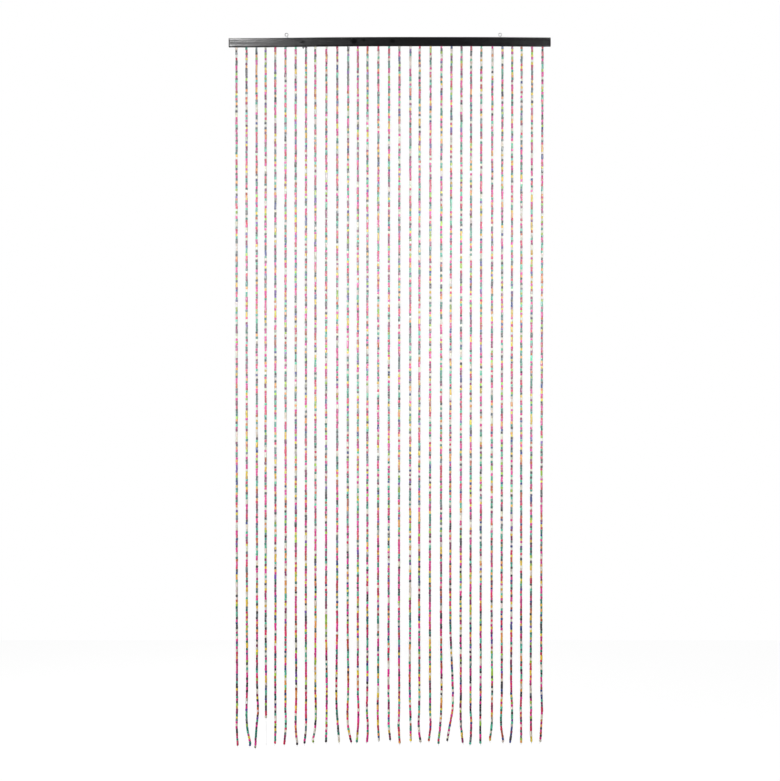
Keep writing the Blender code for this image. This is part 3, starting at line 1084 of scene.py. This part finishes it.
def build_string(number, path, beaded, materials, beads, dyes, fittings):
    """One string as one piece: its beads, its thread and its knot."""
    rng = np.random.default_rng((beads.seed, number))
    top = STRIP_BELOW_BAR + beads.gap
    bottom = beaded.length
    ends = TOP_BEADS.get(number, ()), FOOT_BEADS.get(number, ())
    kinds, lengths, names = plan_beads(bottom - top, beads, *ends, rng)
    fit = (bottom - top) / (lengths.sum() + beads.gap * len(lengths))
    lengths = lengths * fit
    starts = top + np.concatenate([[0], np.cumsum(lengths[:-1] + beads.gap * fit)])
    colours = dye_colours(names, dyes, rng)
    corners, width = bake_cells(len(starts))
    assembly = Assembly()
    for kind in MIDDLE_RINGS:
        mine = kinds == kind
        if mine.any():
            cells = (corners[mine], width)
            add_beads(assembly, path, starts[mine], lengths[mine], kind, colours[mine], cells, beads, rng)
    add_thread(assembly, path, bottom, fittings, rng)
    piece = assembly.to_object(f"bead_string_{number:02d}", materials, BEAD_CREASE)
    seat(piece, "dyed_bamboo", STRANDS)
    gleaming().objects.link(piece)


# The bar


def knot_field(x, height):
    """How much a point lies in a knot, and how far the grain is pushed up or down there."""
    inside, push = np.zeros(len(x)), np.zeros(len(x))
    for knot in BAR_KNOTS:
        along, up = (x - knot.x) / knot.width, (height - knot.height) / knot.reach
        inside = np.maximum(inside, np.exp(-3 * (along**2 + up**2) ** 1.5))
        push += np.sign(up) * np.exp(-(along**2)) * np.exp(-np.abs(up)) * knot.reach
    return inside, push


def add_grain(piece, bow, bar):
    """Gives the bar its grain: what the lacquer's nodes read, and a fine relief along the wood."""
    mesh = piece.data
    co = points_of(mesh)
    normals = np.array([vertex.normal for vertex in mesh.vertices])
    height = co[:, 2] - bow.middle(co[:, 0])
    inside, push = knot_field(co[:, 0], height)
    half = np.array((bow.height() / 2, bow.high.y, bow.high.x))
    room = half[:, None] - np.abs([height, co[:, 1], co[:, 0]])
    edge = np.clip(1 - np.sort(room, axis=0)[1] / (2 * bar.edge_radius), 0, 1)
    fibre = np.stack([co[:, 1], height + push, co[:, 0]], axis=-1) / MM
    point_attribute(mesh, "fibre", fibre)
    point_attribute(mesh, "edge", edge)
    point_attribute(mesh, "knot", inside)
    for vertex, normal, spot, up in zip(mesh.vertices, normals, fibre, height / half[0]):
        streak = noise(Vector(spot * GRAIN_FREQUENCY)) * bar.grain_relief
        wave = noise(Vector(spot * WAVE_FREQUENCY)) * bar.waviness
        vertex.co += Vector(normal) * (streak + wave - bar.crown * up**2)


def groove_cutter(bow):
    """What is cut out of the bar's underside for the strip."""
    depth, height = STRIP_DEPTH + 2 * CLEARANCE, STRIP_HEIGHT + 2 * CLEARANCE
    section = rounded_outline(depth, height, CLEARANCE, GROOVE_STEPS, STRIP_DEPTH)
    half_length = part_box(STRANDS)[1].x + CLEARANCE
    ends = (CLEARANCE, GROOVE_STEPS)
    return bowed_loft("groove", *section, half_length, STRIP_STATION_SPACING, bow.strip_middle, *ends)


def pilot_hole_cutter(eye):
    """What is cut out of the bar for one screw eye."""
    lean, length = eye_lean(eye)
    down = Vector((-sin(lean), 0, -cos(lean)))
    radii = (PILOT_HOLE_DIAMETER / 2, PILOT_HOLE_DIAMETER / 2)
    return cones(eye + "_hole", [ring_centre(eye)], down, radii, length + CLEARANCE, PILOT_HOLE_SIDES)


def build_bar(bow, material, bar):
    """The bar with its grain, its groove and the holes of its screw eyes."""
    section = rounded_outline(
        bow.high.y * 2, bow.height(), bar.edge_radius, BAR_ARC_STEPS, BAR_FACE_SPACING
    )
    ends = (BAR_END_ROUNDING, BAR_END_STEPS)
    piece = bowed_loft(
        BAR + "_lacquered", *section, bow.high.x, BAR_STATION_SPACING, bow.middle, *ends
    )
    add_grain(piece, bow, bar)
    cut_out(piece, groove_cutter(bow), *(pilot_hole_cutter(eye) for eye in EYES))
    cover(piece, material)
    seat(piece, "black_lacquer", BAR)


def build_strip(bow, material, tops):
    """The narrow strip in the bar's groove, with a small hole for each thread."""
    section = rounded_outline(
        STRIP_DEPTH, STRIP_HEIGHT, STRIP_ROUNDING, STRIP_ARC_STEPS, STRIP_FACE_SPACING
    )
    half_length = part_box(STRANDS)[1].x
    ends = (STRIP_ROUNDING, STRIP_END_STEPS)
    piece = bowed_loft(
        "thread_strip", *section, half_length, STRIP_STATION_SPACING, bow.strip_middle, *ends
    )
    places = [top - Vector((0, 0, STRIP_BELOW_BAR + CLEARANCE)) for top in tops]
    radii = (THREAD_HOLE_DIAMETER / 2 * THREAD_HOLE_FLARE, THREAD_HOLE_DIAMETER / 2)
    up = Vector((0, 0, 1))
    cut_out(piece, cones("thread_holes", places, up, radii, THREAD_HOLE_DEPTH, THREAD_HOLE_SIDES))
    point_attribute(piece.data, "fibre", points_of(piece.data)[:, [1, 2, 0]] / MM)
    cover(piece, material)
    seat(piece, "black_lacquer", STRANDS)


# The screw eyes


def build_eye(eye, material, fittings):
    """A screw eye of bent wire with a wood thread on its shank, where the frame has a plain one."""
    low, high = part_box(eye)
    centre = ring_centre(eye)
    lean, length = eye_lean(eye)
    wire = high.y
    ring = high.z - centre.z - wire
    neck = ring * NECK_BELOW_RING
    down = np.linspace(length, neck, SHANK_STEPS)
    shank = [Vector((0, 0, -z)) for z in down]
    start = Vector((cos(RING_STARTS_AT), 0, sin(RING_STARTS_AT))) * ring
    bend = [shank[-1].lerp(start, (step / NECK_STEPS) ** NECK_EASE) for step in range(1, NECK_STEPS)]
    angles = np.linspace(RING_STARTS_AT, RING_ENDS_AT, RING_STEPS)
    loop = [Vector((cos(angle), 0, sin(angle))) * ring for angle in angles]
    line = shank + bend + loop
    turn = Matrix.Translation(centre) @ Matrix.Rotation(lean, 4, "Y")
    points = np.array([turn @ point for point in line])
    side = np.arange(EYE_SIDES) / EYE_SIDES
    radii = np.full((len(line), EYE_SIDES), wire)
    from_tip = (length - down)[:, None]
    winding = (from_tip / fittings.screw_pitch - side) % 1
    ridge = np.clip(1 - np.abs(winding - 0.5) * 4, 0, 1) * fittings.screw_ridge
    taper = np.clip(from_tip / SHANK_POINT_LENGTH, SHANK_POINT_SHARE, 1)
    fades = np.clip((down[:, None] - neck - PLAIN_SHANK) / SCREW_FADE, 0, 1)
    radii[: len(shank)] = (wire - fittings.screw_ridge * fades * 0.5 + ridge * fades) * taper
    skin, skins = tube(points, radii, EYE_SIDES)
    assembly = Assembly()
    marks = Path(points).marks
    around = np.tile(side * wire * 2 * pi, len(points)) / MM
    along = np.repeat(marks, EYE_SIDES) / MM
    fibre = np.stack([around, np.zeros(len(around)), along], axis=-1)
    assembly.add(skin, skins, fibre=fibre)
    piece = assembly.to_object(eye + "_wire", [material], BEAD_CREASE)
    seat(piece, "zinc_wire", eye)


def build_loose_end(top, material):
    """The knotted cord end beside the top of one string."""
    along = np.linspace(0, 1, CORD_POINTS)[:, None]
    cord = top + CORD_START + along * CORD_SWEEP + np.sin(along * pi) * CORD_SAG
    knot = overhand_knot(cord[-1] + CORD_TO_KNOT, CORD_KNOT_WIDTH, CORD_KNOT_TURN)
    line = np.concatenate([cord, knot])
    skin, skins = tube(line, np.full(len(line), CORD_WIDTH / 2), CORD_SIDES)
    assembly = Assembly()
    assembly.add(skin, skins, fibre=skin / MM)
    piece = assembly.to_object("loose_cord_end", [material], BEAD_CREASE)
    seat(piece, "dyed_bamboo", STRANDS)


# The stage


def look_at(piece, target):
    direction = Vector(target) - piece.location
    piece.rotation_euler = direction.to_track_quat("-Z", "Y").to_euler()


def build_camera(stage):
    data = bpy.data.cameras.new("camera")
    data.lens = stage.lens
    camera = link("camera", data)
    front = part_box(BAR)[0].y
    camera.location = (stage.camera_side, front - stage.camera_distance, stage.camera_height)
    camera.rotation_euler = (pi / 2, 0, 0)
    bpy.context.scene.camera = camera


def build_lights():
    for light in LIGHTS:
        data = bpy.data.lights.new(light.name, "AREA")
        data.shape = "RECTANGLE"
        data.size, data.size_y = light.width, light.height
        data.spread = radians(light.beam)
        data.energy = light.watts
        lamp = link(light.name, data)
        lamp.location = light.place
        look_at(lamp, light.aim)
        if light.sheen:
            lamp.visible_diffuse = False
            lamp.light_linking.receiver_collection = gleaming()


def gleaming():
    """The collection of what the sheen lamps light."""
    return bpy.data.collections.get(GLEAMING) or bpy.data.collections.new(GLEAMING)


def build_room(stage):
    """White all round for the eye, and a weaker even light for the curtain."""
    world = bpy.data.worlds.new("white_room")
    world.use_nodes = True
    bpy.context.scene.world = world
    world.node_tree.nodes.clear()
    nodes = Nodes(world.node_tree)
    white = (1, 1, 1, 1)
    seen = nodes.add("ShaderNodeBackground", {"Color": white, "Strength": 1.0}).outputs[0]
    lit = nodes.add("ShaderNodeBackground", {"Color": white, "Strength": stage.room_light}).outputs[0]
    straight = nodes.add("ShaderNodeLightPath").outputs["Is Camera Ray"]
    mixed = nodes.add("ShaderNodeMixShader", {0: straight, 1: lit, 2: seen}).outputs[0]
    nodes.add("ShaderNodeOutputWorld", {"Surface": mixed})
    bpy.context.scene.view_settings.view_transform = "Standard"


def build_floor(stage):
    bm = bmesh.new()
    bmesh.ops.create_grid(bm, x_segments=8, y_segments=8, size=stage.floor_width / 2)
    mesh = bpy.data.meshes.new("floor")
    bm.to_mesh(mesh)
    bm.free()
    mesh.materials.append(paper_material(stage))
    floor = link("floor", mesh)
    floor.location.z = CAD_BOX[0].z - stage.floor_gap


# Operators


class CURTAIN_OT_studio(bpy.types.Operator):
    """Sets up the camera, the lamps, the white room and the pale floor"""

    bl_idname = "curtain.studio"
    bl_label = "Set Up Studio"

    def execute(self, context):
        stage = context.scene.curtain_stage
        make_groups()
        build_camera(stage)
        build_lights()
        build_room(stage)
        build_floor(stage)
        return {"FINISHED"}


class CURTAIN_OT_bar(bpy.types.Operator):
    """Makes the lacquered header bar and the strip in its groove"""

    bl_idname = "curtain.bar"
    bl_label = "Make Header Bar"

    def execute(self, context):
        make_groups()
        bow = Bow(BAR)
        bar = context.scene.curtain_bar
        material = lacquer_material(bar)
        build_bar(bow, material, bar)
        build_strip(bow, material, [Vector(path.at(0)) for path, beaded in read_strands(bow)])
        return {"FINISHED"}


class CURTAIN_OT_eyes(bpy.types.Operator):
    """Makes the two screw eyes in the bar's top"""

    bl_idname = "curtain.eyes"
    bl_label = "Make Screw Eyes"

    def execute(self, context):
        make_groups()
        fittings = context.scene.curtain_fittings
        material = zinc_material(fittings)
        for eye in EYES:
            build_eye(eye, material, fittings)
        return {"FINISHED"}


class CURTAIN_OT_strings(bpy.types.Operator):
    """Threads every string of beads, with its knot, and the loose end beside one of them"""

    bl_idname = "curtain.strings"
    bl_label = "Thread Bead Strings"

    def execute(self, context):
        make_groups()
        beads, dyes = context.scene.curtain_beads, context.scene.curtain_dyes
        fittings = context.scene.curtain_fittings
        materials = [bamboo_material(dyes), nylon_material(fittings)]
        strands = read_strands(Bow(BAR))
        if len(strands) < LOOSE_END_STRING:
            raise RuntimeError(f"the frame shows only {len(strands)} strands")
        for number, (path, beaded) in enumerate(strands, 1):
            build_string(number, path, beaded, materials, beads, dyes, fittings)
        build_loose_end(strands[LOOSE_END_STRING - 1][0].at(0), cord_material(fittings))
        return {"FINISHED"}


class CURTAIN_PT_panel(bpy.types.Panel):
    """The curtain's steps and settings"""

    bl_idname = "CURTAIN_PT_panel"
    bl_label = "Bead Curtain"
    bl_space_type = "VIEW_3D"
    bl_region_type = "UI"
    bl_category = "Curtain"

    def draw(self, context):
        layout = self.layout
        for operator in OPERATORS:
            layout.operator(operator.bl_idname)
        for pointer, settings in SETTINGS.items():
            box = layout.box()
            box.label(text=pointer.replace("_", " ").capitalize())
            for key in settings.__annotations__:
                box.prop(getattr(context.scene, pointer), key)


OPERATORS = (CURTAIN_OT_studio, CURTAIN_OT_bar, CURTAIN_OT_eyes, CURTAIN_OT_strings)
SETTINGS = {
    "curtain_beads": CurtainBeadSettings,
    "curtain_dyes": CurtainDyeSettings,
    "curtain_bar": CurtainBarSettings,
    "curtain_fittings": CurtainFittingSettings,
    "curtain_stage": CurtainStageSettings,
}


def register():
    for pointer, settings in SETTINGS.items():
        bpy.utils.register_class(settings)
        setattr(bpy.types.Scene, pointer, PointerProperty(type=settings))
    for made in (*OPERATORS, CURTAIN_PT_panel):
        bpy.utils.register_class(made)


def unregister():
    for made in (CURTAIN_PT_panel, *OPERATORS):
        bpy.utils.unregister_class(made)
    for pointer, settings in SETTINGS.items():
        delattr(bpy.types.Scene, pointer)
        bpy.utils.unregister_class(settings)


def main():
    register()
    bpy.ops.curtain.studio()
    bpy.ops.curtain.bar()
    bpy.ops.curtain.eyes()
    bpy.ops.curtain.strings()


if __name__ == "__main__":
    main()
